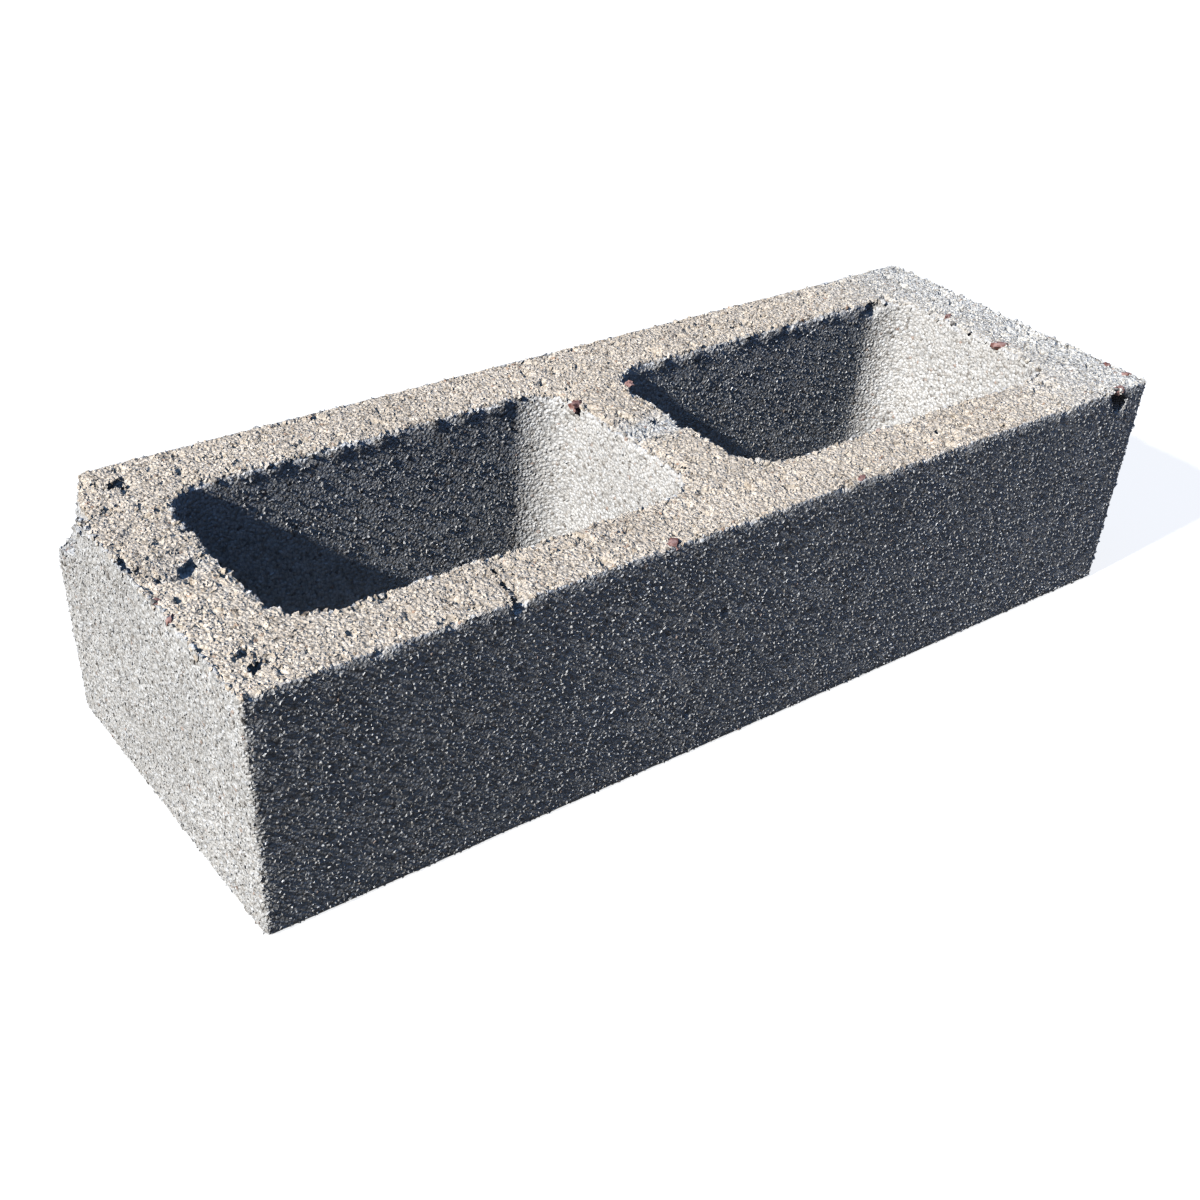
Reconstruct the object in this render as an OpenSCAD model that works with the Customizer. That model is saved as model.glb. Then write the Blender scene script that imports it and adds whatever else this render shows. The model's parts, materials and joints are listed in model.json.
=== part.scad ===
// Hollow concrete block: a half-high two-cell masonry unit, cast in one piece.
// It lies on its lower bed, with the cells upright and the side that was on top
// in the mould uppermost. X is the length, Y the width, Z up. The origin is the
// middle of the lower bed. Millimetres.

/* [Block] */
// Overall length, from end face to end face
block_l = 396.9; // [300:0.1:500]
// Overall width, across both face shells
block_w = 142.9; // [110:0.1:300]
// Overall height, from lower bed to top bed
block_h = 92.1; // [50:0.1:200]
// Radius of the four upright outer corners, left by the mould box
arris_r = 2; // [0.5:0.1:6]

/* [Cells] */
// Number of cells in a row along the length
cell_count = 2; // [1:1:3]
// Face shell thickness at the top bed, where it is thinnest
shell_t = 27.5; // [19:0.1:38]
// End web thickness at the top bed
end_web_t = 28; // [19:0.1:38]
// Thickness of a web between two cells at the top bed
mid_web_t = 26; // [19:0.1:38]
// Radius of the cell corners at the top bed
cell_r = 17; // [8:0.1:24]
// Core draft: how far each cell wall comes in from the top bed to the lower bed
core_draft = 2; // [0.5:0.1:5]

/* [Broken corner] */
// Reach of the break along the length, on the top bed
break_l = 12; // [4:0.5:18]
// Reach of the break along the end face, on the top bed
break_w = 30; // [10:0.5:50]
// Reach of the break down the upright corner
break_h = 26; // [8:0.5:45]
// How many times further the steep face would reach down, if no ledge stopped it
steepness = 1.9; // [1.2:0.1:4]
// How many times further the ledge would reach over the top bed, if no steep face stopped it
ledge_spread = 2.5; // [1.2:0.1:4]

/* [Hidden] */
$fn = 96;

// Concrete as it cures, a warm light grey
concrete_colour = [0.74, 0.73, 0.69];
// How far a cutting solid runs past the face it opens
past = 1;

// Size of one cell at the top bed
cell_l = (block_l - 2 * end_web_t - (cell_count - 1) * mid_web_t) / cell_count;
cell_w = block_w - 2 * shell_t;
// Distance from one cell's centre to the next
cell_pitch = cell_l + mid_web_t;
// Corner radius of the core, limited by the cell it has to fit in
core_r = min(cell_r, cell_l / 2 - past, cell_w / 2 - past);
// Side of the block of space beyond each face of the break
break_size = 2 * ledge_spread * (break_l + break_w + break_h);

// How far a core's wall stands in from its top-bed line, at height z
function draft_at(z) = core_draft * (block_h - z) / block_h;

// A rectangle with round corners, centred on the origin
module round_rect(l, w, r) {
    square([l - 2 * r, w], center = true);
    square([l, w - 2 * r], center = true);
    for (x = [-1, 1], y = [-1, 1])
        translate([x * (l / 2 - r), y * (w / 2 - r)])
            circle(r);
}

// The mould box's inside: the block before its cells are cored out
module moulded_body() {
    linear_extrude(block_h)
        round_rect(block_l, block_w, arris_r);
}

// A core's side view, span wide at the top bed, drawn in the XY plane with Y as height
module core_profile(span) {
    low = -past;
    high = block_h + past;
    low_half = span / 2 - draft_at(low);
    high_half = span / 2 - draft_at(high);
    polygon([[-low_half, low], [low_half, low], [high_half, high], [-high_half, high]]);
}

// One drafted core: two wedges at right angles and a cone at each corner
module core() {
    flat_l = cell_l - 2 * core_r;
    flat_w = cell_w - 2 * core_r;
    rotate([90, 0, 0])
        linear_extrude(flat_w, center = true)
            core_profile(cell_l);
    rotate([90, 0, 90])
        linear_extrude(flat_l, center = true)
            core_profile(cell_w);
    for (x = [-1, 1], y = [-1, 1])
        translate([x * flat_l / 2, y * flat_w / 2, -past])
            cylinder(
                h = block_h + 2 * past,
                r1 = core_r - draft_at(-past),
                r2 = core_r - draft_at(block_h + past)
            );
}

// All the cores, spaced along the length
module cores() {
    for (i = [0 : cell_count - 1])
        translate([(i - (cell_count - 1) / 2) * cell_pitch, 0, 0])
            core();
}

// The space beyond a plane across the corner of left end, back and top, given by how far
// the plane reaches from the corner along the length, the width and the height
module beyond(reach) {
    outward = [-1 / reach.x, 1 / reach.y, 1 / reach.z];
    translate([-block_l / 2 + reach.x, block_w / 2, block_h])
        rotate([0, acos(outward.z / norm(outward)), atan2(outward.y, outward.x)])
            translate([-break_size / 2, -break_size / 2, 0])
                cube(break_size);
}

// The lump that broke away, between a steep face and a sloping ledge
module broken_corner() {
    intersection() {
        beyond([break_l, break_w, steepness * break_h]);
        beyond([ledge_spread * break_l, ledge_spread * break_w, break_h]);
    }
}

module concrete_block() {
    color(concrete_colour)
        difference() {
            moulded_body();
            cores();
            broken_corner();
        }
}

concrete_block();
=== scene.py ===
"""The looks of a half-high hollow concrete block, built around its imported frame.

The block is dry-cast concrete: a stiff, sandy mix is shaken into a mould round drafted cores, struck off
level on top and pushed out at once. So its sides are tight and flat, and its top and its rims are open
and crumbly. Sand grains show all over, and a few red-brown stones at the top. Sizes are in millimetres,
and Blender's own units are metres. X is the length, Y the width, Z up, as in the frame.
"""

import json
import logging
from contextlib import contextmanager
from dataclasses import dataclass, field
from enum import Enum
from math import radians, tau
from typing import Any, Iterator

import bmesh
import bpy
import numpy as np
from mathutils import Euler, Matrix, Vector

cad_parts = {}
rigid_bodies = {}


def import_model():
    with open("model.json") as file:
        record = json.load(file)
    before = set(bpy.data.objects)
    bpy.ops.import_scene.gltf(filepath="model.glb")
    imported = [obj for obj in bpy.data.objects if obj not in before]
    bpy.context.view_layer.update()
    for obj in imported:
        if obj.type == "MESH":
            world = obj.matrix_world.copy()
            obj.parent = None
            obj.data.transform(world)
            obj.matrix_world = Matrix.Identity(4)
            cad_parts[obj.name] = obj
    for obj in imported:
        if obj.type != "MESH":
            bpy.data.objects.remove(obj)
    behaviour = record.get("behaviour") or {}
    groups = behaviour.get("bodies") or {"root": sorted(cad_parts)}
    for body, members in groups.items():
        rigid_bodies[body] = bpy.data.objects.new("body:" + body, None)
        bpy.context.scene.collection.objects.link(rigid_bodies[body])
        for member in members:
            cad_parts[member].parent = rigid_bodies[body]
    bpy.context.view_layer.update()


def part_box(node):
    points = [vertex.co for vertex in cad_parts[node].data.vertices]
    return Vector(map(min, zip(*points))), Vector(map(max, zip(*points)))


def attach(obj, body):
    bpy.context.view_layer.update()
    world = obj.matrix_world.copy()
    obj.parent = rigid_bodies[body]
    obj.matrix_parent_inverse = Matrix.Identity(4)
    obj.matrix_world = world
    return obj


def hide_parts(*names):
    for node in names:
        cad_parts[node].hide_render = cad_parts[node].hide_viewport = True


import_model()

MM = 0.001
NODE = "concrete_block"
SEED = 7
# How uneven grains, crumbs and hollows are, and the red stones, as shares of their radius.
ROUGH, STONE_ROUGH = 0.35, 0.25
# A lump's radius before it is sized: a chip has so few sides that it needs a larger one to look as big.
LUMP_RADIUS, CHIP_RADIUS = 0.5, 0.6
ARRIS_SEGMENTS, CELL_SEGMENTS = 3, 10
log = logging.getLogger("concrete_block")


# ---- tools


def linear(code: str) -> tuple[float, float, float, float]:
    """Turns an sRGB hex colour into the linear colour that a shader socket takes.

    Args:
        code: The colour, such as "#c8c0b2".

    Returns:
        Red, green, blue and an alpha of 1, linear.
    """
    parts = [int(code[i : i + 2], 16) / 255 for i in (1, 3, 5)]
    bent = [c / 12.92 if c <= 0.04045 else ((c + 0.055) / 1.055) ** 2.4 for c in parts]
    return bent[0], bent[1], bent[2], 1.0


def put(
    tree: bpy.types.NodeTree,
    kind: str,
    links: dict[str | int, Any] | None = None,
    stops: tuple[tuple[float, str], ...] = (),
    **settings: Any,
) -> bpy.types.Node:
    """Adds one node, sets its properties, and fills or links its inputs.

    Args:
        tree: The shader or geometry tree that the node goes into.
        kind: The node's type name.
        links: Each input's name or number, with a value, another node's output, or a node for its first one.
        stops: For a colour ramp, each stop's place and its sRGB hex colour, lowest first.
        settings: The node's own properties.

    Returns:
        The new node.
    """
    node = tree.nodes.new(kind)
    for name, value in settings.items():
        setattr(node, name, value)
    if stops:
        elements = node.color_ramp.elements
        for element, (position, code) in zip(elements, (stops[0], stops[-1])):
            element.position, element.color = position, linear(code)
        for position, code in stops[1:-1]:
            elements.new(position).color = linear(code)
    for key, value in (links or {}).items():
        if isinstance(value, bpy.types.Node):
            value = value.outputs[0]
        if isinstance(value, bpy.types.NodeSocket):
            tree.links.new(value, node.inputs[key])
        else:
            node.inputs[key].default_value = value
    return node


def cleared(owner: bpy.types.Material | bpy.types.World) -> bpy.types.NodeTree:
    """Turns on the nodes of a material or a world, and removes those it starts with.

    Args:
        owner: The material or the world.

    Returns:
        Its empty tree.
    """
    owner.use_nodes = True
    owner.node_tree.nodes.clear()
    return owner.node_tree


def solo(obj: bpy.types.Object) -> None:
    """Makes obj the only selected object, and the active one.

    Args:
        obj: The object to select.
    """
    bpy.ops.object.select_all(action="DESELECT")
    obj.select_set(True)
    bpy.context.view_layer.objects.active = obj


@contextmanager
def editing(obj: bpy.types.Object) -> Iterator[bmesh.types.BMesh]:
    """Opens obj in edit mode with nothing selected, and leaves edit mode at the end.

    Args:
        obj: The mesh object to edit.

    Yields:
        Its edit mesh, for selecting by place or normal.
    """
    solo(obj)
    bpy.ops.object.mode_set(mode="EDIT")
    bpy.ops.mesh.select_all(action="DESELECT")
    yield bmesh.from_edit_mesh(obj.data)
    bpy.ops.object.mode_set(mode="OBJECT")


def pick(obj: bpy.types.Object, items: list[Any]) -> None:
    """Selects these vertices, edges or faces of an object in edit mode, and nothing else.

    Args:
        obj: The object in edit mode.
        items: Parts of its edit mesh, all of one kind.
    """
    bpy.ops.mesh.select_all(action="DESELECT")
    for item in items:
        item.select_set(True)
    bmesh.update_edit_mesh(obj.data)


def modify(obj: bpy.types.Object, kind: str, **settings: Any) -> None:
    """Adds one modifier to obj and applies it.

    Args:
        obj: The object to change.
        kind: The modifier's type.
        settings: The modifier's own properties.
    """
    solo(obj)
    modifier = obj.modifiers.new(kind.title(), kind)
    for name, value in settings.items():
        setattr(modifier, name, value)
    bpy.ops.object.modifier_apply(modifier=modifier.name)


def read(items: Any, name: str, width: int = 1, kind: type = np.float32) -> np.ndarray:
    """Reads one property of all of a mesh's vertices, edges or faces.

    Args:
        items: The mesh's vertices, edges, loops or polygons.
        name: The property's name.
        width: How many numbers each item has.
        kind: The numbers' type.

    Returns:
        The numbers, a row for each item where width is over 1.
    """
    found = np.empty(len(items) * width, kind)
    items.foreach_get(name, found)
    return found.reshape(-1, width) if width > 1 else found


def triangles(obj: bpy.types.Object) -> int:
    """Returns how many triangles a mesh object has."""
    return int((read(obj.data.polygons, "loop_total", kind=np.int32) - 2).sum())


def keep_inside(obj: bpy.types.Object, low: Vector, high: Vector) -> None:
    """Presses whatever stands out of a box back to the box's faces, as the mould and the strike-off did.

    Args:
        obj: The mesh object.
        low: The box's lowest corner, in millimetres.
        high: Its highest corner.
    """
    places = read(obj.data.vertices, "co", 3)
    obj.data.vertices.foreach_set("co", places.clip(low * MM, high * MM).ravel())
    obj.data.update()


def add_box(name: str, centre: Vector, size: Vector) -> bpy.types.Object:
    """Adds a box at its place, with the place kept in its mesh.

    Args:
        name: The new object's name.
        centre: Its middle, in millimetres.
        size: Its length, width and height, in millimetres.

    Returns:
        The new object.
    """
    bpy.ops.mesh.primitive_cube_add(size=1, location=centre * MM, scale=size * MM)
    box = bpy.context.object
    box.name = name
    solo(box)
    bpy.ops.object.transform_apply(location=True, rotation=True, scale=True)
    return box


class Solid(Enum):
    """The plain solid that a grain, a stone or a hollow is worked from, by how many sides it has."""

    CHIP = 8
    PEBBLE = 20
    STONE = 80


@dataclass(frozen=True)
class Lump:
    """Where an uneven solid lies, and its size, in millimetres."""

    place: tuple[float, float, float]  # its middle
    size: tuple[float, float, float]  # its diameters
    turn: float = 0  # about Z, in degrees


def add_lump(name: str, lump: Lump, solid: Solid, rough: float, seed: int) -> bpy.types.Object:
    """Adds an uneven solid at its place, with the place kept in its mesh.

    Args:
        name: The new object's name.
        lump: Where it lies, and its size.
        solid: The plain solid that it is worked from.
        rough: How uneven it is, as a share of its radius.
        seed: What its unevenness is drawn from.

    Returns:
        The new object.
    """
    if solid is Solid.CHIP:
        bpy.ops.mesh.primitive_uv_sphere_add(segments=4, ring_count=2, radius=CHIP_RADIUS)
    else:
        steps = 1 if solid is Solid.PEBBLE else 2
        bpy.ops.mesh.primitive_ico_sphere_add(subdivisions=steps, radius=LUMP_RADIUS)
    obj = bpy.context.object
    obj.name = name
    with editing(obj):
        bpy.ops.mesh.select_all(action="SELECT")
        bpy.ops.transform.vertex_random(offset=rough * LUMP_RADIUS, uniform=0.6, normal=0.4, seed=seed)
    obj.location, obj.scale = Vector(lump.place) * MM, Vector(lump.size) * MM
    obj.rotation_euler = Euler((0, 0, radians(lump.turn)))
    solo(obj)
    bpy.ops.object.transform_apply(location=True, rotation=True, scale=True)
    return obj


def join(parts: list[bpy.types.Object], name: str) -> bpy.types.Object:
    """Joins mesh objects into the first of them.

    Args:
        parts: The objects to join.
        name: The joined object's name.

    Returns:
        The joined object.
    """
    solo(parts[0])
    for part in parts[1:]:
        part.select_set(True)
    bpy.ops.object.join()
    parts[0].name = name
    return parts[0]


# ---- relief


class Pattern(Enum):
    """The texture that a layer of relief follows."""

    GRAINS = "ShaderNodeTexVoronoi"
    CLOUDS = "ShaderNodeTexNoise"


@dataclass(frozen=True)
class Layer:
    """One layer of relief, sunk from the cast surface. Sizes are in millimetres."""

    pattern: Pattern
    size: float  # the width of one grain or cloud
    low: float  # the pattern's value at which the layer starts to sink
    high: float  # the value at which it is at its full depth
    depth: float
    mask: str = ""  # the vertex attribute that says where it is, or nothing for everywhere


@dataclass(frozen=True)
class Crumbs:
    """Lumps of the mix along the top rims, left standing or torn out. Sizes are in millimetres."""

    count: int
    small: float  # the smallest one's width
    large: float  # the largest one's width
    inward: float  # how far from the cell's wall their middles are, below 0 towards the cell
    spread: float  # how far they stray from there
    below: float  # how far below the top their middles are, as a share of their width
    outside: float  # the share of them along the front and left edges that is kept
    seed: int
    tries: int = 6000  # how many places are drawn, of which those along the rims are kept
    slim: float = 0.6  # the least width and height, as a share of the length


@dataclass(frozen=True)
class Marks:
    """How far the marks reach from their places, in millimetres, and how much wear each edge has, up to 1.
    """

    face: float = 3.0  # the sides, and the cells' walls
    struck: float = 2.4  # the struck-off top
    rim: float = 2.6  # wear at the cells' rims
    edge: float = 1.8  # wear at the top's outer edges
    arris: float = 2.4
    bed: float = 2.0
    long_wear: float = 0.25  # the top's long edges
    short_wear: float = 0.6
    arris_wear: float = 0.15
    bed_wear: float = 0.1
    long_edge: float = 6.0  # how near a long side an edge counts as long
    broken: float = 0.12  # a share of the break's size
    hollow: float = 0.9  # a share of the hollow's radius, from which its mark fades
    hollow_fade: float = 0.35
    pale_end: float = 45.0  # bleaching at the right end
    pale_bar: float = 7.0  # bleaching at the middle web's strip
    pale_past: float = 1.0  # how far that goes past the web


@dataclass
class CastBlock:
    """The block itself: its moulded outside, drafted cells, broken corner and weathered surface."""

    low: Vector = field(default_factory=lambda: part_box(NODE)[0] / MM)
    high: Vector = field(default_factory=lambda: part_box(NODE)[1] / MM)
    skin: float = 0.3  # how far the faces lie inside the frame's box, for the grains to stand in
    arris_r: float = 2.0
    shell_t: float = 27.5
    end_web_t: float = 28.0
    mid_web_t: float = 26.0
    cell_r: float = 17.0
    core_draft: float = 2.0  # how much a core narrows a side, over the block's height
    break_reach: tuple[float, float, float] = (12.0, 30.0, 26.0)  # along X, Y and Z from its corner
    steepness: float = 1.9  # how much further down the break's steep face would end
    ledge_spread: float = 2.5  # how much further out its ledge would end
    bar_w: float = 17.0  # the strip that the core bar left across the webs
    bar_y: float = 1.5
    bar_depth: float = 1.1
    bar_end: float = 9.0  # where it starts from the left end
    voxel: float = 0.85  # the fine mesh's step
    past: float = 3.0  # how far a core goes past each bed
    kept_top: float = 0.38  # the shares of the fine mesh's faces that are kept
    kept_outer: float = 0.12
    kept_inner: float = 0.09
    kept_cutter: float = 0.3
    near_face: float = 4.0  # how far from the top and the outside their own shares reach
    near_bed: float = 1.5
    rim_depth: float = 6.0  # how far below the top grains may stand into a cell
    back_rim_depth: float = 1.0  # the same at its back wall
    nudge: float = 0.01  # the step over which the way out of a cell is measured
    sharp: float = 38.0  # the angle from which an edge is shaded as sharp
    marks: Marks = Marks()

    @property
    def size(self) -> Vector:
        """The block's length, width and height."""
        return self.high - self.low

    @property
    def cell(self) -> Vector:
        """One cell's half length and half width at the top bed."""
        length = (self.size.x - 2 * self.end_web_t - self.mid_web_t) / 2
        return Vector((length / 2, self.size.y / 2 - self.shell_t))

    @property
    def cell_x(self) -> float:
        """How far each cell's middle is from the block's."""
        return self.cell.x + self.mid_web_t / 2

    def build(self) -> bpy.types.Object:
        """Models the block.

        Returns:
            The finished mesh object.
        """
        block = self.cast()
        self.cut(block, [self.core(-1), self.core(1), self.broken_lump(), *self.bar_marks()])
        self.cut(block, [self.fused(self.scars() + self.crumbs(BITES))])
        block = join([block, *self.crumbs(CLODS)], block.name)
        modify(block, "REMESH", mode="VOXEL", voxel_size=self.voxel * MM)
        self.mark_places(block)
        self.weather(block)
        self.thin(block)
        self.press(block)
        solo(block)
        bpy.ops.object.shade_smooth_by_angle(angle=radians(self.sharp))
        return block

    def press(self, piece: bpy.types.Object) -> None:
        """Presses what stands out of the mould back to its faces.

        Args:
            piece: The block, or grains that stand in it.
        """
        keep_inside(piece, self.low, self.high)
        places = read(piece.data.vertices, "co", 3) / MM
        away = self.from_cell(places)
        step = np.eye(3)[:2] * self.nudge
        slope = np.stack([(self.from_cell(places + along) - away) / self.nudge for along in step], axis=1)
        rim = np.where(places[:, 1] > self.cell.y - self.cell_r, self.back_rim_depth, self.rim_depth)
        inside = (away < 0) & (places[:, 2] < self.size.z - rim)
        places[inside, :2] -= (away[:, None] * slope)[inside]
        piece.data.vertices.foreach_set("co", (places * MM).astype(np.float32).ravel())
        piece.data.update()

    def cast(self) -> bpy.types.Object:
        """Models the moulded outside, with its upright arrises rounded.

        Returns:
            The solid block, a skin's depth inside the frame's box, which its grains then reach.
        """
        middle = (self.low + self.high) / 2
        block = add_box("block_body", middle, self.size - Vector((2, 2, 2)) * self.skin)
        with editing(block) as mesh:
            pick(block, [e for e in mesh.edges if abs((e.verts[0].co - e.verts[1].co).z) > self.voxel * MM])
            bpy.ops.mesh.bevel(offset=self.arris_r * MM, segments=ARRIS_SEGMENTS, affect="EDGES")
        return block

    @property
    def break_faces(self) -> tuple[Vector, Vector]:
        """How far the break's steep face and its ledge reach from the corner along X, Y and Z."""
        x, y, z = self.break_reach
        return Vector((x, y, z * self.steepness)), Vector((x * self.ledge_spread, y * self.ledge_spread, z))

    def broken_lump(self) -> bpy.types.Object:
        """Models the lump that broke off the corner of left end, back and top.

        Returns:
            The lump as a cutter, bounded by the break's steep face and its ledge.
        """
        corner = Vector((self.low.x, self.high.y, self.high.z))
        lump = add_box("broken_lump", corner, Vector((2, 2, 2)) * max(self.break_reach) * self.ledge_spread)
        with editing(lump):
            for reach in self.break_faces:
                bpy.ops.mesh.select_all(action="SELECT")
                bpy.ops.mesh.bisect(
                    plane_co=(corner + Vector((reach.x, 0, 0))) * MM,
                    plane_no=Vector((-1 / reach.x, 1 / reach.y, 1 / reach.z)).normalized(),
                    use_fill=True,
                    clear_inner=True,
                )
        return lump

    def core(self, side: int) -> bpy.types.Object:
        """Models one drafted core, past both beds.

        Args:
            side: -1 for the left cell and 1 for the right one.

        Returns:
            The core as a cutter.
        """
        height = self.size.z + 2 * self.past
        slope = self.core_draft / self.size.z
        top = self.cell + Vector((1, 1)) * (slope * self.past + self.skin)
        centre = Vector((side * self.cell_x, 0, self.size.z / 2))
        core = add_box("core", centre, Vector((2 * top.x, 2 * top.y, height)))
        with editing(core) as mesh:
            pick(core, [f for f in mesh.faces if f.normal.z < -0.5])
            narrow = [(half - slope * height) / half for half in top]
            bpy.ops.transform.resize(value=(narrow[0], narrow[1], 1), center_override=centre * MM)
            pick(core, [e for e in mesh.edges if abs((e.verts[0].co - e.verts[1].co).z) > self.past * MM])
            bpy.ops.mesh.bevel(offset=self.cell_r * MM, segments=CELL_SEGMENTS, affect="EDGES")
        return core

    def bar_marks(self) -> list[bpy.types.Object]:
        """Models the shallow strips that the core bar left across the webs.

        Returns:
            A cutter for each web.
        """
        webs = (
            (self.low.x + self.bar_end, self.low.x + self.end_web_t),
            (-self.mid_web_t / 2, self.mid_web_t / 2),
        )
        marks = []
        for start, end in webs:
            centre = Vector(((start + end) / 2, self.bar_y, self.size.z))
            marks.append(add_box("bar_mark", centre, Vector((end - start, self.bar_w, 2 * self.bar_depth))))
        return marks

    def scars(self) -> list[bpy.types.Object]:
        """Models the hollows where lumps of concrete came away.

        Returns:
            A cutter for each hollow.
        """
        return [add_lump("scar", scar, Solid.STONE, ROUGH, SEED + n) for n, scar in enumerate(SCARS)]

    def crumbs(self, kind: Crumbs) -> list[bpy.types.Object]:
        """Models lumps at random places along the top rims.

        Args:
            kind: Their sizes, and where they are.

        Returns:
            The lumps.
        """
        draw = np.random.default_rng(kind.seed)
        places = draw.uniform(self.low, self.high, (kind.tries, 3))
        places[:, 2] = self.high.z
        along = np.abs(self.from_cell(places) - kind.inward) < kind.spread
        edge = np.minimum(places[:, 1] - self.low.y, places[:, 0] - self.low.x)
        along |= (np.abs(edge) < kind.spread) & (draw.random(kind.tries) < kind.outside)
        lumps = []
        for x, y, z in places[along][: kind.count]:
            size = draw.uniform(kind.small, kind.large)
            wide = (size, size * draw.uniform(kind.slim, 1), size * draw.uniform(kind.slim, 1))
            lump = Lump((x, y, z - kind.below * size), wide, draw.uniform(0, 180))
            lumps.append(add_lump("crumb", lump, Solid.STONE, ROUGH, int(draw.integers(1000))))
        return lumps

    def fused(self, lumps: list[bpy.types.Object]) -> bpy.types.Object:
        """Joins lumps that overlap into one closed solid.

        Args:
            lumps: Closed solids.

        Returns:
            The solid, with nothing left inside it.
        """
        solid = join(lumps, "hollows")
        modify(solid, "REMESH", mode="VOXEL", voxel_size=self.voxel * MM)
        modify(solid, "DECIMATE", ratio=self.kept_cutter)
        return solid

    def cut(self, block: bpy.types.Object, cutters: list[bpy.types.Object]) -> None:
        """Cuts each cutter out of the block and removes it.

        Args:
            block: The block so far.
            cutters: Closed solids to take away.
        """
        for cutter in cutters:
            modify(block, "BOOLEAN", operation="DIFFERENCE", solver="EXACT", object=cutter)
            bpy.data.objects.remove(cutter)

    def mark_places(self, block: bpy.types.Object) -> None:
        """Writes where the faces, rims, break and hollows are, as vertex attributes from 0 to 1.

        Args:
            block: The block's fine mesh.
        """
        x, y, z = (read(block.data.vertices, "co", 3) / MM).T
        end, side = self.high.x - np.abs(x), self.high.y - np.abs(y)
        to_top, to_bed = (self.size.z - z).clip(0), z.clip(0)
        cell, outside = np.abs(self.from_cell(np.stack((x, y, z), 1))), np.minimum(end, side).clip(0)
        beyond = [
            1 - (x - self.low.x) / reach.x - (self.high.y - y) / reach.y - to_top / reach.z
            for reach in self.break_faces
        ]
        marks = self.marks
        hollow = np.zeros_like(x)
        for scar in SCARS:
            away = [(c - p) / (d / 2) for c, p, d in zip((x, y, z), scar.place, scar.size)]
            past = (np.linalg.norm(away, axis=0) - marks.hollow).clip(0)
            hollow = np.maximum(hollow, near(past, marks.hollow_fade))
        edge_wear = np.where(side < marks.long_edge, marks.long_wear, marks.short_wear)
        rims = (
            near(np.hypot(to_top, cell), marks.rim),
            edge_wear * near(np.hypot(to_top, outside), marks.edge),
            marks.arris_wear * near(np.hypot(end, side), marks.arris),
            marks.bed_wear * near(np.hypot(to_bed, np.minimum(cell, outside)), marks.bed),
        )
        on_web = np.abs(x) < self.mid_web_t / 2 + marks.pale_past
        places = {
            "rim": np.maximum.reduce(rims),
            "struck": near(to_top, marks.struck) * (np.minimum(cell, outside) > 2 * self.skin),
            "broken": near(np.minimum(*beyond), marks.broken),
            "hollow": hollow,
            # Near the cells' walls, where their paler colour is partly painted light.
            "cored": near(cell, marks.face),
            "pale": np.maximum(near(x - self.high.x, marks.pale_end), near(y, marks.pale_bar) * on_web),
            "front": near(y - self.low.y, marks.face),
            "back": near(self.high.y - y, marks.face),
            "left_end": near(x - self.low.x, marks.face),
            "right_end": near(self.high.x - x, marks.face),
            "left_cell": near(cell, marks.face) * (x < 0),
            "right_cell": near(cell, marks.face) * (x > 0),
        }
        for name, values in places.items():
            attribute = block.data.attributes.new(name, "FLOAT", "POINT")
            attribute.data.foreach_set("value", values.astype(np.float32))

    def from_cell(self, places: np.ndarray) -> np.ndarray:
        """Works out how far points are from the nearer cell's wall.

        Args:
            places: The points, in millimetres, one a row.

        Returns:
            The distances, in millimetres, below 0 inside the cell.
        """
        x, y, z = places.T
        drafted = self.core_draft * (self.size.z - z) / self.size.z
        over_x = np.abs(np.abs(x) - self.cell_x) - (self.cell.x - drafted - self.cell_r)
        over_y = np.abs(y) - (self.cell.y - drafted - self.cell_r)
        past = np.hypot(over_x.clip(0), over_y.clip(0)) + np.maximum(over_x, over_y).clip(max=0)
        return past - self.cell_r

    def weather(self, block: bpy.types.Object) -> None:
        """Sinks the layers of relief into the surface, and keeps how deep each point went.

        Args:
            block: The block's fine mesh, with its places marked.
        """
        tree = bpy.data.node_groups.new("weathering", "GeometryNodeTree")
        tree.interface.new_socket("Geometry", in_out="INPUT", socket_type="NodeSocketGeometry")
        tree.interface.new_socket("Geometry", in_out="OUTPUT", socket_type="NodeSocketGeometry")
        place, normal = put(tree, "GeometryNodeInputPosition"), put(tree, "GeometryNodeInputNormal")
        total = put(tree, "ShaderNodeValue")
        total.outputs[0].default_value = 0
        for layer in RELIEF:
            texture = put(tree, layer.pattern.value, {"Vector": place, "Scale": 1 / (layer.size * MM)})
            links = {0: texture, 1: layer.low, 2: layer.high, 4: layer.depth}
            amount = put(tree, "ShaderNodeMapRange", links)
            if layer.mask:
                mask = put(tree, "GeometryNodeInputNamedAttribute", {"Name": layer.mask}, data_type="FLOAT")
                amount = put(tree, "ShaderNodeMath", {0: amount, 1: mask}, operation="MULTIPLY")
            total = put(tree, "ShaderNodeMath", {0: total, 1: amount}, operation="ADD")
        metres = put(tree, "ShaderNodeMath", {0: total, 1: -MM}, operation="MULTIPLY")
        inward = put(tree, "ShaderNodeVectorMath", {0: normal, "Scale": metres}, operation="SCALE")
        links = {"Geometry": put(tree, "NodeGroupInput"), "Name": "sunk", "Value": total}
        kept = put(tree, "GeometryNodeStoreNamedAttribute", links, data_type="FLOAT", domain="POINT")
        moved = put(tree, "GeometryNodeSetPosition", {"Geometry": kept, "Offset": inward})
        put(tree, "NodeGroupOutput", {0: moved})
        modify(block, "NODES", node_group=tree)

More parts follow.
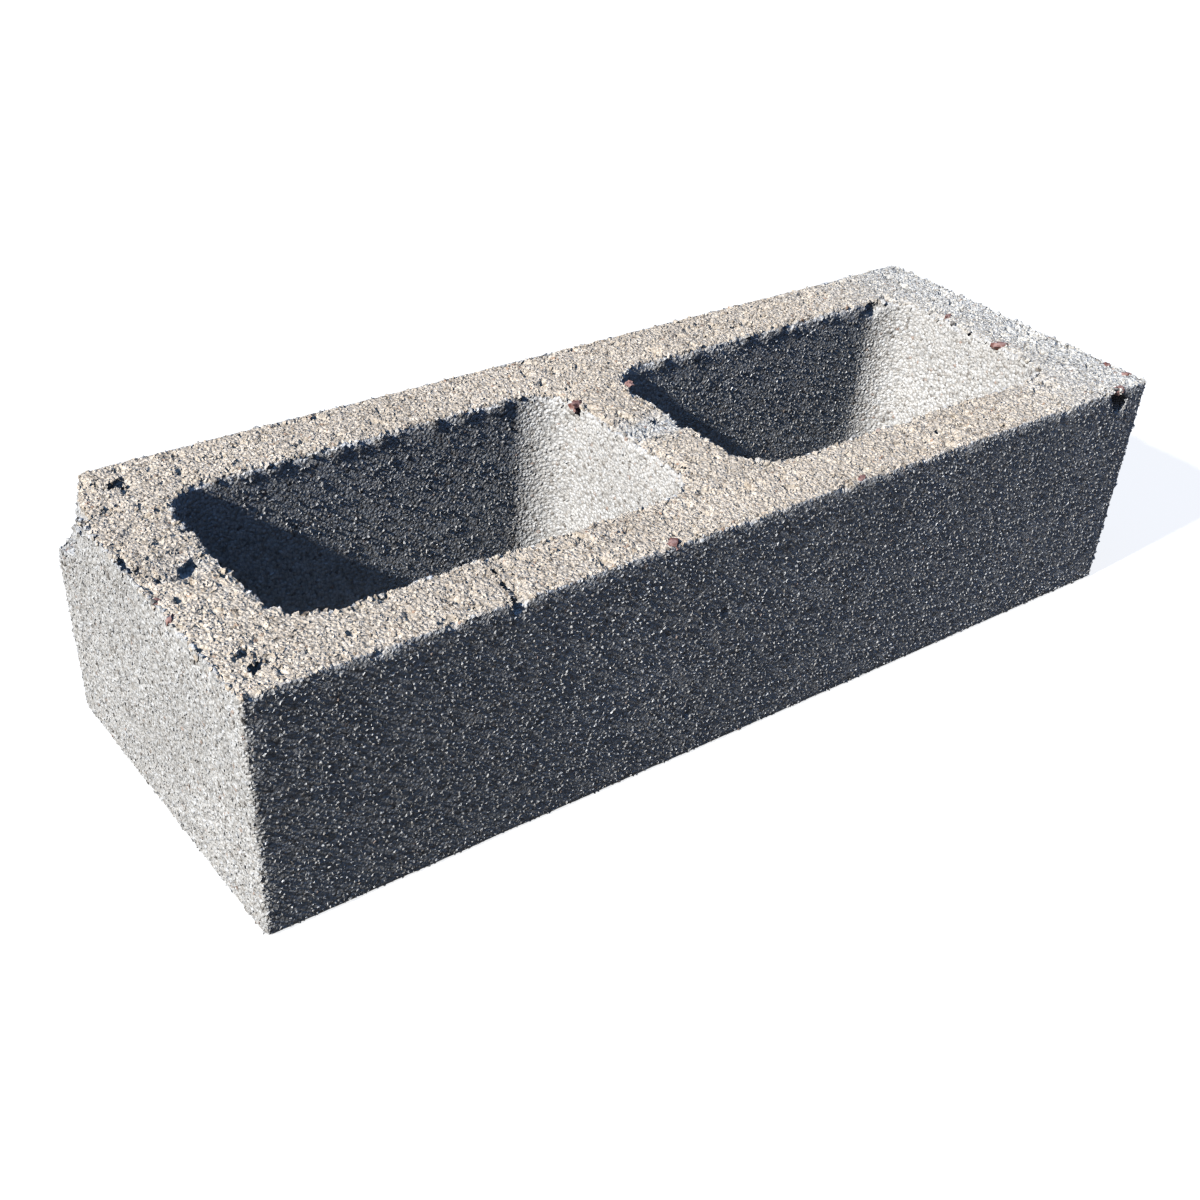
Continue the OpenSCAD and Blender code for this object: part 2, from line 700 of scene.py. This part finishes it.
    def thin(self, block: bpy.types.Object) -> None:
        """Thins the mesh region by region, least where the relief is strongest.

        Args:
            block: The block's fine mesh.
        """
        mesh = block.data
        x, y, z = (read(mesh.vertices, "co", 3) / MM).T
        top, bed = z > self.size.z - self.near_face, z < self.near_bed
        outer = (self.high.x - np.abs(x) < self.near_face) | (self.high.y - np.abs(y) < self.near_face)
        regions = (
            ("near_top", top, self.kept_top),
            ("near_outside", outer & ~top & ~bed, self.kept_outer),
            ("near_cells", ~outer & ~top | bed, self.kept_inner),
        )
        for name, wanted, _ in regions:
            mesh.attributes.new(name, "FLOAT", "POINT").data.foreach_set("value", wanted.astype(np.float32))
        for name, _, share in regions:
            choose(block, read(mesh.attributes[name].data, "value") > 0.5)
            solo(block)
            bpy.ops.object.mode_set(mode="EDIT")
            bpy.ops.mesh.decimate(ratio=share)
            bpy.ops.object.mode_set(mode="OBJECT")
            mesh.attributes.remove(mesh.attributes[name])


def near(distance: np.ndarray, width: float) -> np.ndarray:
    """Falls from 1 at no distance to almost nothing at twice the width."""
    return np.exp(-((distance / width) ** 2))


def choose(obj: bpy.types.Object, wanted: np.ndarray) -> None:
    """Selects vertices, and every edge and face between them, before edit mode.

    Args:
        obj: The mesh object.
        wanted: Whether each vertex is selected.
    """
    mesh = obj.data
    bpy.context.tool_settings.mesh_select_mode = (True, False, False)
    ends = read(mesh.edges, "vertices", 2, np.int32)
    corners = read(mesh.loops, "vertex_index", kind=np.int32)
    starts = read(mesh.polygons, "loop_start", kind=np.int32)
    mesh.vertices.foreach_set("select", wanted)
    mesh.edges.foreach_set("select", wanted[ends].all(1))
    mesh.polygons.foreach_set("select", np.logical_and.reduceat(wanted[corners], starts))


# Where the hollows and the stones are measured from: the top bed's height and the front face's Y.
TOP = 92.1
FRONT = -71.45
# Broad, faint unevenness all over; then pits of lost sand in the struck top, and deeper loss at the rims
# and in the break, which the mould never pressed.
RELIEF = (
    Layer(Pattern.CLOUDS, 42, 0.35, 0.75, 0.20),
    Layer(Pattern.GRAINS, 2.0, 0.30, 0.85, 0.05),
    Layer(Pattern.CLOUDS, 4.0, 0.68, 0.78, 0.40),
    Layer(Pattern.GRAINS, 2.6, 0.25, 0.80, 0.50, "struck"),
    Layer(Pattern.CLOUDS, 5.0, 0.58, 0.70, 1.70, "struck"),
    Layer(Pattern.CLOUDS, 7.0, 0.42, 0.68, 1.20, "rim"),
    Layer(Pattern.GRAINS, 4.0, 0.30, 0.90, 0.80, "rim"),
    Layer(Pattern.CLOUDS, 9.0, 0.30, 0.75, 2.00, "broken"),
    Layer(Pattern.GRAINS, 3.5, 0.30, 0.90, 0.90, "broken"),
)
# Lumps left standing along the rims, and lumps torn out of them.
CLODS = Crumbs(120, 4.0, 6.5, 2.2, 1.0, 0.5, 0.0, 11)
BITES = Crumbs(170, 2.5, 5.5, -0.4, 1.0, 0.1, 0.5, 12)
# Torn hollows and short cracks, one by one: at the corners, along the core bar's strips and the front edge.
SCARS = (
    Lump((-180.5, 57.0, TOP - 3), (8, 4.4, 11), 20),
    Lump((-175.6, 59.2, TOP - 2), (5, 3, 8)),
    Lump((-184.5, 60.5, TOP - 2), (3.4, 3, 7)),
    Lump((-196.0, 45.0, TOP - 2), (6, 13, 10), -6),
    Lump((-196.2, 9.5, TOP - 2), (4.6, 12, 9)),
    Lump((-177.6, 0.6, TOP - 2), (13, 6, 9), 27),
    Lump((-171.8, 4.0, TOP - 2), (4, 3.4, 8)),
    Lump((-191.2, -4.4, TOP - 1), (5, 3.2, 10)),
    Lump((-186.3, -5.0, TOP - 1), (5, 3.4, 10)),
    Lump((-181.8, -4.4, TOP - 1), (5, 3.4, 10), 20),
    Lump((-11.0, -0.5, TOP - 2), (7, 3.6, 7), 51),
    Lump((-7.2, 6.5, TOP - 1), (3, 2.4, 6)),
    Lump((5.5, 3.3, TOP - 2), (6, 3, 9), 15),
    Lump((-4.2, -7.6, TOP - 1), (5, 3.0, 9)),
    Lump((0.4, -8.0, TOP - 1), (5, 2.8, 9)),
    Lump((4.8, -7.8, TOP - 1), (5, 3.0, 9)),
    Lump((-10.6, -13.1, TOP - 1), (3, 3.6, 5)),
    Lump((-10.0, -21.5, TOP - 2), (2.2, 4, 9)),
    Lump((-8.9, -25.8, TOP - 2), (2.2, 4, 9)),
    Lump((-9.2, -30.2, TOP - 2), (2.2, 4, 9)),
    Lump((13.5, -4.0, TOP - 2), (7, 9, 10)),
    Lump((-187.0, -51.5, TOP - 2), (7, 2.6, 8), 25),
    Lump((-187.5, -59.5, TOP - 2), (6, 3, 8), 30),
    Lump((-182.5, -57.0, TOP - 2), (4, 3, 7)),
    Lump((90.5, -58.0, TOP - 2), (7, 3, 8), 40),
    Lump((101.0, -59.0, TOP - 2), (4, 3, 8)),
    Lump((86.0, 53.0, TOP - 2), (5, 3, 7)),
    Lump((157.0, 42.5, TOP - 3), (9, 6, 11)),
    Lump((-104.5, -61.0, TOP - 2), (2.2, 8, 8), -10),
    Lump((-102.8, -53.0, TOP - 2), (2.2, 7, 8), 10),
    Lump((-106.5, -70.0, TOP - 2), (5, 5, 7)),
    Lump((183.0, FRONT + 1.5, TOP - 7), (9, 10, 9)),
    Lump((178.5, FRONT + 0.5, TOP - 3), (7, 7, 6)),
    Lump((-21.0, FRONT + 0.4, 58.0), (5, 2.8, 4)),
    Lump((-33.0, FRONT + 0.4, 19.0), (4, 2.6, 3.4)),
)


# ---- grains


# A grain's length, width and height as shares of its size, and how much less each next kind has.
GRAIN_SHAPE = ((1, 0), (0.95, 0.06), (0.8, 0.05))
# How many places are tried in a square of the least distance, enough to pack them close.
CROWDING = 2.0


@dataclass(frozen=True)
class Grains:
    """Grains of sand and fine gravel that stand in the block's surface. Sizes are in millimetres."""

    name: str
    where: str  # the block's vertex attribute that says where they are
    apart: float  # the least distance between two of them
    small: float  # the smallest one's width
    large: float  # the largest one's width
    seed: int
    solid: Solid = Solid.CHIP
    least: float = 0.5  # the attribute's value from which they are found
    kinds: int = 6  # how many different shapes they have
    set_in: float = 0.4  # how far below the surface their middles lie

    def build(self, block: bpy.types.Object, cast: CastBlock) -> bpy.types.Object:
        """Models the grains, strews them over the block, joins them and presses them flush.

        Args:
            block: The finished block.
            cast: Its sizes.

        Returns:
            The grains as one mesh object.
        """
        shapes = bpy.data.collections.new("grain_shapes")
        for number in range(self.kinds):
            wide = tuple((share - thinner * number) / MM for share, thinner in GRAIN_SHAPE)
            shape = add_lump("grain", Lump((0, 0, 0), wide), self.solid, ROUGH, self.seed + number)
            shape.users_collection[0].objects.unlink(shape)
            shapes.objects.link(shape)
        bpy.ops.mesh.primitive_plane_add()
        grains = bpy.context.object
        grains.name = self.name
        modify(grains, "NODES", node_group=self.strewing(block, shapes))
        for shape in list(shapes.objects):
            bpy.data.objects.remove(shape)
        cast.press(grains)
        return grains

    def strewing(self, block: bpy.types.Object, shapes: bpy.types.Collection) -> bpy.types.NodeTree:
        """Makes the nodes that set a turned, sized and toned grain at each of many places on the block.

        Args:
            block: The finished block.
            shapes: The grain shapes, each one metre across.

        Returns:
            The geometry tree.
        """
        tree = bpy.data.node_groups.new(self.name, "GeometryNodeTree")
        tree.interface.new_socket("Geometry", in_out="OUTPUT", socket_type="NodeSocketGeometry")

        surface = put(tree, "GeometryNodeObjectInfo", {"Object": block}).outputs["Geometry"]
        where = put(tree, "GeometryNodeInputNamedAttribute", {"Name": self.where}, data_type="FLOAT")
        chosen = put(tree, "ShaderNodeMath", {0: where, 1: self.least}, operation="GREATER_THAN")
        links = {
            "Mesh": surface,
            "Distance Min": self.apart * MM,
            "Density Max": CROWDING / (self.apart * MM) ** 2,
            "Density Factor": chosen,
            "Seed": self.seed,
        }
        points = put(tree, "GeometryNodeDistributePointsOnFaces", links, distribute_method="POISSON")
        links = {0: points.outputs["Normal"], "Scale": -self.set_in * MM}
        inward = put(tree, "ShaderNodeVectorMath", links, operation="SCALE")
        sunk = put(tree, "GeometryNodeSetPosition", {"Geometry": points, "Offset": inward})
        links = {2: 0.0, 3: 1.0, "Seed": self.seed + 3}
        tone = put(tree, "FunctionNodeRandomValue", links, data_type="FLOAT").outputs[1]
        links = {"Geometry": sunk, "Name": "tone", "Value": tone}
        toned = put(tree, "GeometryNodeStoreNamedAttribute", links, data_type="FLOAT", domain="POINT")
        links = {2: self.small * MM, 3: self.large * MM, "Seed": self.seed + 1}
        width = put(tree, "FunctionNodeRandomValue", links, data_type="FLOAT").outputs[1]
        links = {0: (0, 0, 0), 1: (tau, tau, tau), "Seed": self.seed + 2}
        turn = put(tree, "FunctionNodeRandomValue", links, data_type="FLOAT_VECTOR")
        choice = put(tree, "GeometryNodeCollectionInfo", {"Collection": shapes, "Separate Children": True})
        links = {
            "Points": toned,
            "Instance": choice,
            "Pick Instance": True,
            "Rotation": turn,
            "Scale": width,
        }
        placed = put(tree, "GeometryNodeInstanceOnPoints", links)
        put(tree, "NodeGroupOutput", {0: put(tree, "GeometryNodeRealizeInstances", {"Geometry": placed})})
        return tree


# The real sand is mostly under 1 mm. It is drawn coarser and sparser, so that it shows and stays light.
GRAINS = (
    Grains("top_sand", "struck", 1.15, 1.0, 2.0, 100),
    Grains("rim_gravel", "rim", 2.0, 1.6, 3.4, 200, Solid.PEBBLE, 0.45),
    Grains("break_gravel", "broken", 1.8, 1.4, 3.0, 300, Solid.PEBBLE),
    Grains("front_sand", "front", 1.32, 1.0, 1.75, 400, set_in=0.38),
    Grains("back_sand", "back", 1.9, 1.4, 2.4, 500, set_in=0.5),
    Grains("left_end_sand", "left_end", 1.35, 1.4, 2.5, 600),
    Grains("right_end_sand", "right_end", 1.7, 1.6, 2.7, 700),
    Grains("left_cell_sand", "left_cell", 1.5, 1.1, 1.9, 800, set_in=0.42),
    Grains("right_cell_sand", "right_cell", 1.5, 1.1, 1.9, 900, set_in=0.42),
    Grains("hollow_sand", "hollow", 1.5, 1.0, 2.0, 950),
)
# The red-brown stones, one by one.
STONES = (
    Lump((-13.0, 29.0, TOP - 2.0), (9, 6, 4.2), 20),
    Lump((15.6, 32.8, TOP - 1.6), (3.2, 4.4, 3.5), 0),
    Lump((172.5, -15.3, TOP - 1.2), (8, 4, 3.5), -35),
    Lump((175.4, 16.0, TOP - 1.2), (5, 2.6, 3.5), 10),
    Lump((-44.8, -68.4, TOP - 1.6), (6, 5, 4), 0),
    Lump((39.5, -69.0, TOP - 1.5), (4.4, 3.4, 4), 15),
    Lump((196.0, -51.6, TOP - 1.5), (3.5, 3.5, 3.5), 0),
    Lump((195.5, -62.0, TOP - 1.6), (4, 4, 4), 30),
    Lump((182.0, -69.0, TOP - 1.6), (4.5, 4, 4), 0),
    Lump((-196.4, -14.0, TOP - 2.0), (3.5, 3.5, 3.5), 0),
    Lump((-196.6, -24.5, TOP - 2.0), (4, 3.2, 3.5), 40),
)


def add_red_stones(cast: CastBlock) -> bpy.types.Object:
    """Models the red-brown stones that show at the top.

    Args:
        cast: The block's sizes.

    Returns:
        The stones as one mesh object.
    """
    stones = [add_lump("stone", stone, Solid.STONE, STONE_ROUGH, SEED + n) for n, stone in enumerate(STONES)]
    joined = join(stones, "red_stones")
    cast.press(joined)
    return joined


# ---- finishes


@dataclass(frozen=True)
class DryCastConcrete:
    """Dry-cast concrete, moulded and struck off: paste over packed sand, rough and without a shine."""

    name: str = "dry_cast_concrete"
    moulded: str = "#c9c8c5"  # cool grey, where the mould drew the paste to the face
    # Paler on the cells' walls: partly the cores' smoother paste, partly painted light that lifts them as
    # light bounced between the walls would.
    cored: str = "#d6d4d0"
    struck: str = "#e0d2bf"  # warmer, where the sand itself shows
    bleached: str = "#dfdbd2"  # at the right end and on the middle web
    # Painted shade in the hollows: a dark colour mixed in by how deep the relief sank the surface, up to
    # this share over these depths.
    painted_hollow_shade: str = "#6e6a64"
    hollow_shade_share: float = 0.4
    hollow_shade_depths: tuple[float, float] = (0.8, 3.0)
    tones: tuple[tuple[float, str], ...] = (
        (0.0, "#9a9590"),
        (0.05, "#cfc9c2"),
        (0.056, "#cdb3a5"),
        (0.064, "#dad6d1"),
        (0.5, "#eeece9"),
        (1.0, "#ffffff"),
    )
    sand: float = 1.2  # a grain's width, as coarse as it needs to show
    grit: float = 0.5
    cloud: float = 45.0
    cloud_span: tuple[float, float] = (0.3, 0.7)  # the texture's values that are used
    shades: tuple[float, float] = (0.9, 1.08)  # how dark and how light the clouds are
    gap_span: tuple[float, float] = (0.4, 0.8)  # where the painted shade in the gaps starts from a grain's middle, and is full
    dome_span: tuple[float, float] = (0.2, 0.8)  # where a grain starts to fall away, and ends
    relief: float = 0.42  # the bump's height in millimetres
    bump: float = 0.9
    pore_shade: float = 0.66  # how dark the painted shade in the gaps between the grains is
    roughness: float = 0.9
    specular: float = 0.35

    def tone(self, tree: bpy.types.NodeTree, grains: bpy.types.Node) -> bpy.types.NodeSocket:
        """Gives each sand grain in the paste its own value."""
        return put(tree, "ShaderNodeSeparateColor", {0: grains.outputs["Color"]}).outputs["Red"]

    def colour(
        self, tree: bpy.types.NodeTree, place: bpy.types.NodeSocket, grains: bpy.types.Node
    ) -> bpy.types.NodeSocket:
        """Colours the faces by how they were made, the cells' walls paler partly by painted light, then the
        grains and the clouds, and paints shade into the gaps and the sunk hollows.

        Args:
            tree: The material's tree.
            place: The Object coordinates.
            grains: The texture of packed grains.

        Returns:
            The colour's output.
        """
        marks = {}
        for name in ("pale", "cored", "struck", "sunk"):
            marks[name] = put(tree, "ShaderNodeAttribute", attribute_name=name).outputs["Fac"]
        base = []
        # The struck top is mixed with its bleached parts, and the moulded faces with the cells' paler walls,
        # which are partly painted light.
        for share, a, b in (("pale", self.struck, self.bleached), ("cored", self.moulded, self.cored)):
            links = {"Factor": marks[share], "A": linear(a), "B": linear(b)}
            base.append(put(tree, "ShaderNodeMix", links, data_type="RGBA").outputs["Result"])
        links = {"Factor": marks["struck"], "A": base[1], "B": base[0]}
        face = put(tree, "ShaderNodeMix", links, data_type="RGBA").outputs["Result"]
        tones = put(tree, "ShaderNodeValToRGB", {0: self.tone(tree, grains)}, self.tones)
        links = {"Factor": 1.0, "A": face, "B": tones}
        toned = put(tree, "ShaderNodeMix", links, data_type="RGBA", blend_type="MULTIPLY").outputs["Result"]
        links = {"Vector": place, "Scale": 1 / (self.cloud * MM), "Detail": 3.0}
        clouds = put(tree, "ShaderNodeTexNoise", links)
        links = dict(enumerate((clouds, *self.cloud_span, *self.shades)))
        shade = put(tree, "ShaderNodeMapRange", links)
        # Paints shade into the gaps between the grains, darkest furthest from a grain's middle; the clouds'
        # random tone is multiplied in with it.
        links = dict(enumerate((grains.outputs["Distance"], *self.gap_span, 1.0, self.pore_shade)))
        gap_shade = put(tree, "ShaderNodeMapRange", links)
        clouds_and_gap_shade = put(tree, "ShaderNodeMath", {0: shade, 1: gap_shade}, operation="MULTIPLY")
        clouded = put(tree, "ShaderNodeVectorMath", {0: toned, "Scale": clouds_and_gap_shade}, operation="SCALE")
        # Paints shade into the hollows: the deeper the relief sank a point, the more of the dark colour.
        links = dict(enumerate((marks["sunk"], *self.hollow_shade_depths, 0.0, self.hollow_shade_share)))
        sunk = put(tree, "ShaderNodeMapRange", links)
        links = {"Factor": sunk, "A": clouded, "B": linear(self.painted_hollow_shade)}
        return put(tree, "ShaderNodeMix", links, data_type="RGBA").outputs["Result"]

    def make(self) -> bpy.types.Material:
        """Builds the material.

        Returns:
            The material, which reads Object coordinates and the piece's own attributes.
        """
        material = bpy.data.materials.new(self.name)
        tree = cleared(material)
        place = put(tree, "ShaderNodeTexCoord").outputs["Object"]
        grains = put(tree, "ShaderNodeTexVoronoi", {"Vector": place, "Scale": 1 / (self.sand * MM)})
        links = {"Vector": place, "Scale": 1 / (self.grit * MM), "Detail": 2.0}
        fine = put(tree, "ShaderNodeTexNoise", links)
        links = dict(enumerate((grains.outputs["Distance"], *self.dome_span, 1.0, 0.0)))
        dome = put(tree, "ShaderNodeMapRange", links)
        height = put(tree, "ShaderNodeMath", {0: dome, 1: fine}, operation="ADD")
        links = {"Strength": self.bump, "Distance": self.relief * MM, "Height": height}
        links = {
            "Base Color": self.colour(tree, place, grains),
            "Roughness": self.roughness,
            "Specular IOR Level": self.specular,
            "Normal": put(tree, "ShaderNodeBump", links),
        }
        shader = put(tree, "ShaderNodeBsdfPrincipled", links)
        put(tree, "ShaderNodeOutputMaterial", {"Surface": shader})
        return material


@dataclass(frozen=True)
class PasteCoatedSand(DryCastConcrete):
    """The grains that stand out of the concrete: sharp sand, dusted with cement, each of its own tone."""

    name: str = "paste_coated_sand"

    def tone(self, tree: bpy.types.NodeTree, grains: bpy.types.Node) -> bpy.types.NodeSocket:
        """Reads the value that each loose grain was given."""
        return put(tree, "ShaderNodeAttribute", attribute_name="tone").outputs["Fac"]


@dataclass(frozen=True)
class RedBrownStone:
    """Broken brick-red gravel with a film of cement: dull, uneven in tone, with paler flecks."""

    name: str = "red_brown_gravel"
    red: str = "#6b473f"
    dusty: str = "#a3857c"
    fleck: float = 1.6
    relief: float = 0.3
    bump: float = 0.7
    roughness: float = 0.85

    def make(self) -> bpy.types.Material:
        """Builds the material.

        Returns:
            The material, which reads Object coordinates.
        """
        material = bpy.data.materials.new(self.name)
        tree = cleared(material)
        place = put(tree, "ShaderNodeTexCoord").outputs["Object"]
        links = {"Vector": place, "Scale": 1 / (self.fleck * MM), "Detail": 3.0}
        flecks = put(tree, "ShaderNodeTexNoise", links)
        colour = put(tree, "ShaderNodeValToRGB", {0: flecks}, ((0.35, self.red), (0.65, self.dusty)))
        links = {"Strength": self.bump, "Distance": self.relief * MM, "Height": flecks}
        bump = put(tree, "ShaderNodeBump", links)
        links = {"Base Color": colour, "Roughness": self.roughness, "Normal": bump}
        shader = put(tree, "ShaderNodeBsdfPrincipled", links)
        put(tree, "ShaderNodeOutputMaterial", {"Surface": shader})
        return material


# ---- studio


@dataclass(frozen=True)
class Sun:
    """A light that is the same all over the block. Angles are in degrees."""

    name: str
    heading: float  # which way it comes from, round from X
    height: float
    strength: float
    spread: float  # how wide it looks
    colour: str = "#ffffff"
    bounces: int = 1024


@dataclass(frozen=True)
class Panel:
    """A soft square light that faces the block."""

    name: str
    place: tuple[float, float, float]  # in millimetres
    watts: float
    size: float = 400.0
    colour: str = "#a9c0f4"


@dataclass(frozen=True)
class Studio:
    """A pale floor on black felt, the lights, the room and the camera.

    The key light comes from the left, with a wide soft one beside it. A wide cool one comes from above, and
    two faint cool panels stand low in front and behind. Sizes are in millimetres and angles in degrees.
    """

    floor_size: float = 6000
    floor_colour: str = "#8c8c8c"
    floor_light: str = "#ffffff"
    floor_glow: float = 0.72
    felt: str = "#000000"
    felt_below: float = 1.0
    suns: tuple[Sun, ...] = (
        Sun("key", 183, 34.5, 5.3, 2, bounces=0),
        Sun("soft", 204, 34, 0.12, 40, "#dfe8ff", 1),
        Sun("overhead", 0, 90, 1.0, 80, "#8cbcff"),
    )
    panels: tuple[Panel, ...] = (
        Panel("fill", (520, -480, 150), 0.26),
        Panel("back_fill", (0, 900, 120), 0.9),
    )
    sky: str = "#8fb0f5"
    sky_strength: float = 0.03
    room: str = "#f4f4f3"
    camera_place: tuple[float, float, float] = (-325.83, -382.61, 338.25)
    camera_turn: tuple[float, float, float] = (51.532, -3.082, -36.781)
    lens: float = 45.15
    sensor: float = 36.0
    nearest: float = 10.0
    shift_up: float = 0.125

    def build(self) -> None:
        """Builds the floor, the lights and the camera."""
        self.floor()
        self.light()
        self.camera()

    def floor(self) -> None:
        """Lays the floor at the block's bed, and black felt under it, so that no light comes from below.

        The floor is lit evenly from within, and throws no light on the block.
        """
        lit = {
            "Base Color": linear(self.floor_colour),
            "Roughness": 1.0,
            "Specular IOR Level": 0.0,
            "Emission Color": linear(self.floor_light),
            "Emission Strength": self.floor_glow,
        }
        self.sheet("floor", 0, "studio_floor", lit).visible_diffuse = False
        black = {"Base Color": linear(self.felt)}
        self.sheet("felt_under_floor", self.felt_below, "black_felt", black).visible_camera = False

    def sheet(self, name: str, below: float, finish: str, values: dict[str, Any]) -> bpy.types.Object:
        """Lays one wide sheet, level.

        Args:
            name: Its name.
            below: How far below the block's bed it lies, in millimetres.
            finish: Its material's name.
            values: What its shader's inputs are set to.

        Returns:
            The sheet.
        """
        bpy.ops.mesh.primitive_plane_add(size=self.floor_size * MM, location=(0, 0, -below * MM))
        sheet = bpy.context.object
        sheet.name = name
        material = bpy.data.materials.new(finish)
        material.use_nodes = True
        for socket, value in values.items():
            material.node_tree.nodes["Principled BSDF"].inputs[socket].default_value = value
        sheet.data.materials.append(material)
        return sheet

    def light(self) -> None:
        """Sets the lights, and the even light of the room."""
        for sun in self.suns:
            toward = Euler((0, radians(-sun.height), radians(sun.heading))).to_matrix() @ Vector((1, 0, 0))
            bpy.ops.object.light_add(type="SUN", location=toward)
            light = bpy.context.object
            light.name = sun.name
            light.rotation_euler = toward.to_track_quat("Z", "Y").to_euler()
            light.data.energy = sun.strength
            light.data.angle = radians(sun.spread)
            light.data.color = linear(sun.colour)[:3]
            light.data.cycles.max_bounces = sun.bounces
        for panel in self.panels:
            bpy.ops.object.light_add(type="AREA", location=Vector(panel.place) * MM)
            light = bpy.context.object
            light.name = panel.name
            light.rotation_euler = Vector(panel.place).to_track_quat("Z", "Y").to_euler()
            light.data.size = panel.size * MM
            light.data.energy = panel.watts
            light.data.color = linear(panel.colour)[:3]
        world = bpy.data.worlds.new("room")
        tree = cleared(world)
        sky = put(tree, "ShaderNodeBackground", {"Color": linear(self.sky), "Strength": self.sky_strength})
        walls = put(tree, "ShaderNodeBackground", {"Color": linear(self.room), "Strength": 1.0})
        seen = put(tree, "ShaderNodeLightPath").outputs["Is Camera Ray"]
        both = put(tree, "ShaderNodeMixShader", {0: seen, 1: sky, 2: walls})
        put(tree, "ShaderNodeOutputWorld", {"Surface": both})
        bpy.context.scene.world = world

    def camera(self) -> None:
        """Places the camera, and chooses how its picture is toned."""
        bpy.ops.object.camera_add(location=Vector(self.camera_place) * MM)
        camera = bpy.context.object
        camera.name = "camera"
        camera.rotation_euler = Euler([radians(a) for a in self.camera_turn])
        camera.data.sensor_width = self.sensor
        camera.data.lens = self.lens
        camera.data.shift_y = self.shift_up
        camera.data.clip_start = self.nearest * MM
        bpy.context.scene.camera = camera
        bpy.context.scene.view_settings.view_transform = "Standard"
        bpy.context.scene.view_settings.look = "Medium High Contrast"


def main() -> None:
    """Builds the block, its grains and the studio, and reports each piece."""
    logging.basicConfig(level=logging.INFO, format="%(name)s: %(message)s")
    cast = CastBlock()
    block = cast.build()
    concrete, sand, gravel = DryCastConcrete().make(), PasteCoatedSand().make(), RedBrownStone().make()
    pieces = [(block, concrete)]
    pieces += [(grains.build(block, cast), sand) for grains in GRAINS]
    pieces.append((add_red_stones(cast), gravel))
    for piece, finish in pieces:
        piece.data.materials.clear()
        piece.data.materials.append(finish)
        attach(piece, "root")
        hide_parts(NODE)
        log.info("%s: %d triangles", piece.name, triangles(piece))
    log.info("in all: %d triangles", sum(triangles(piece) for piece, _ in pieces))
    Studio().build()
    bpy.context.view_layer.update()


if __name__ == "__main__":
    main()
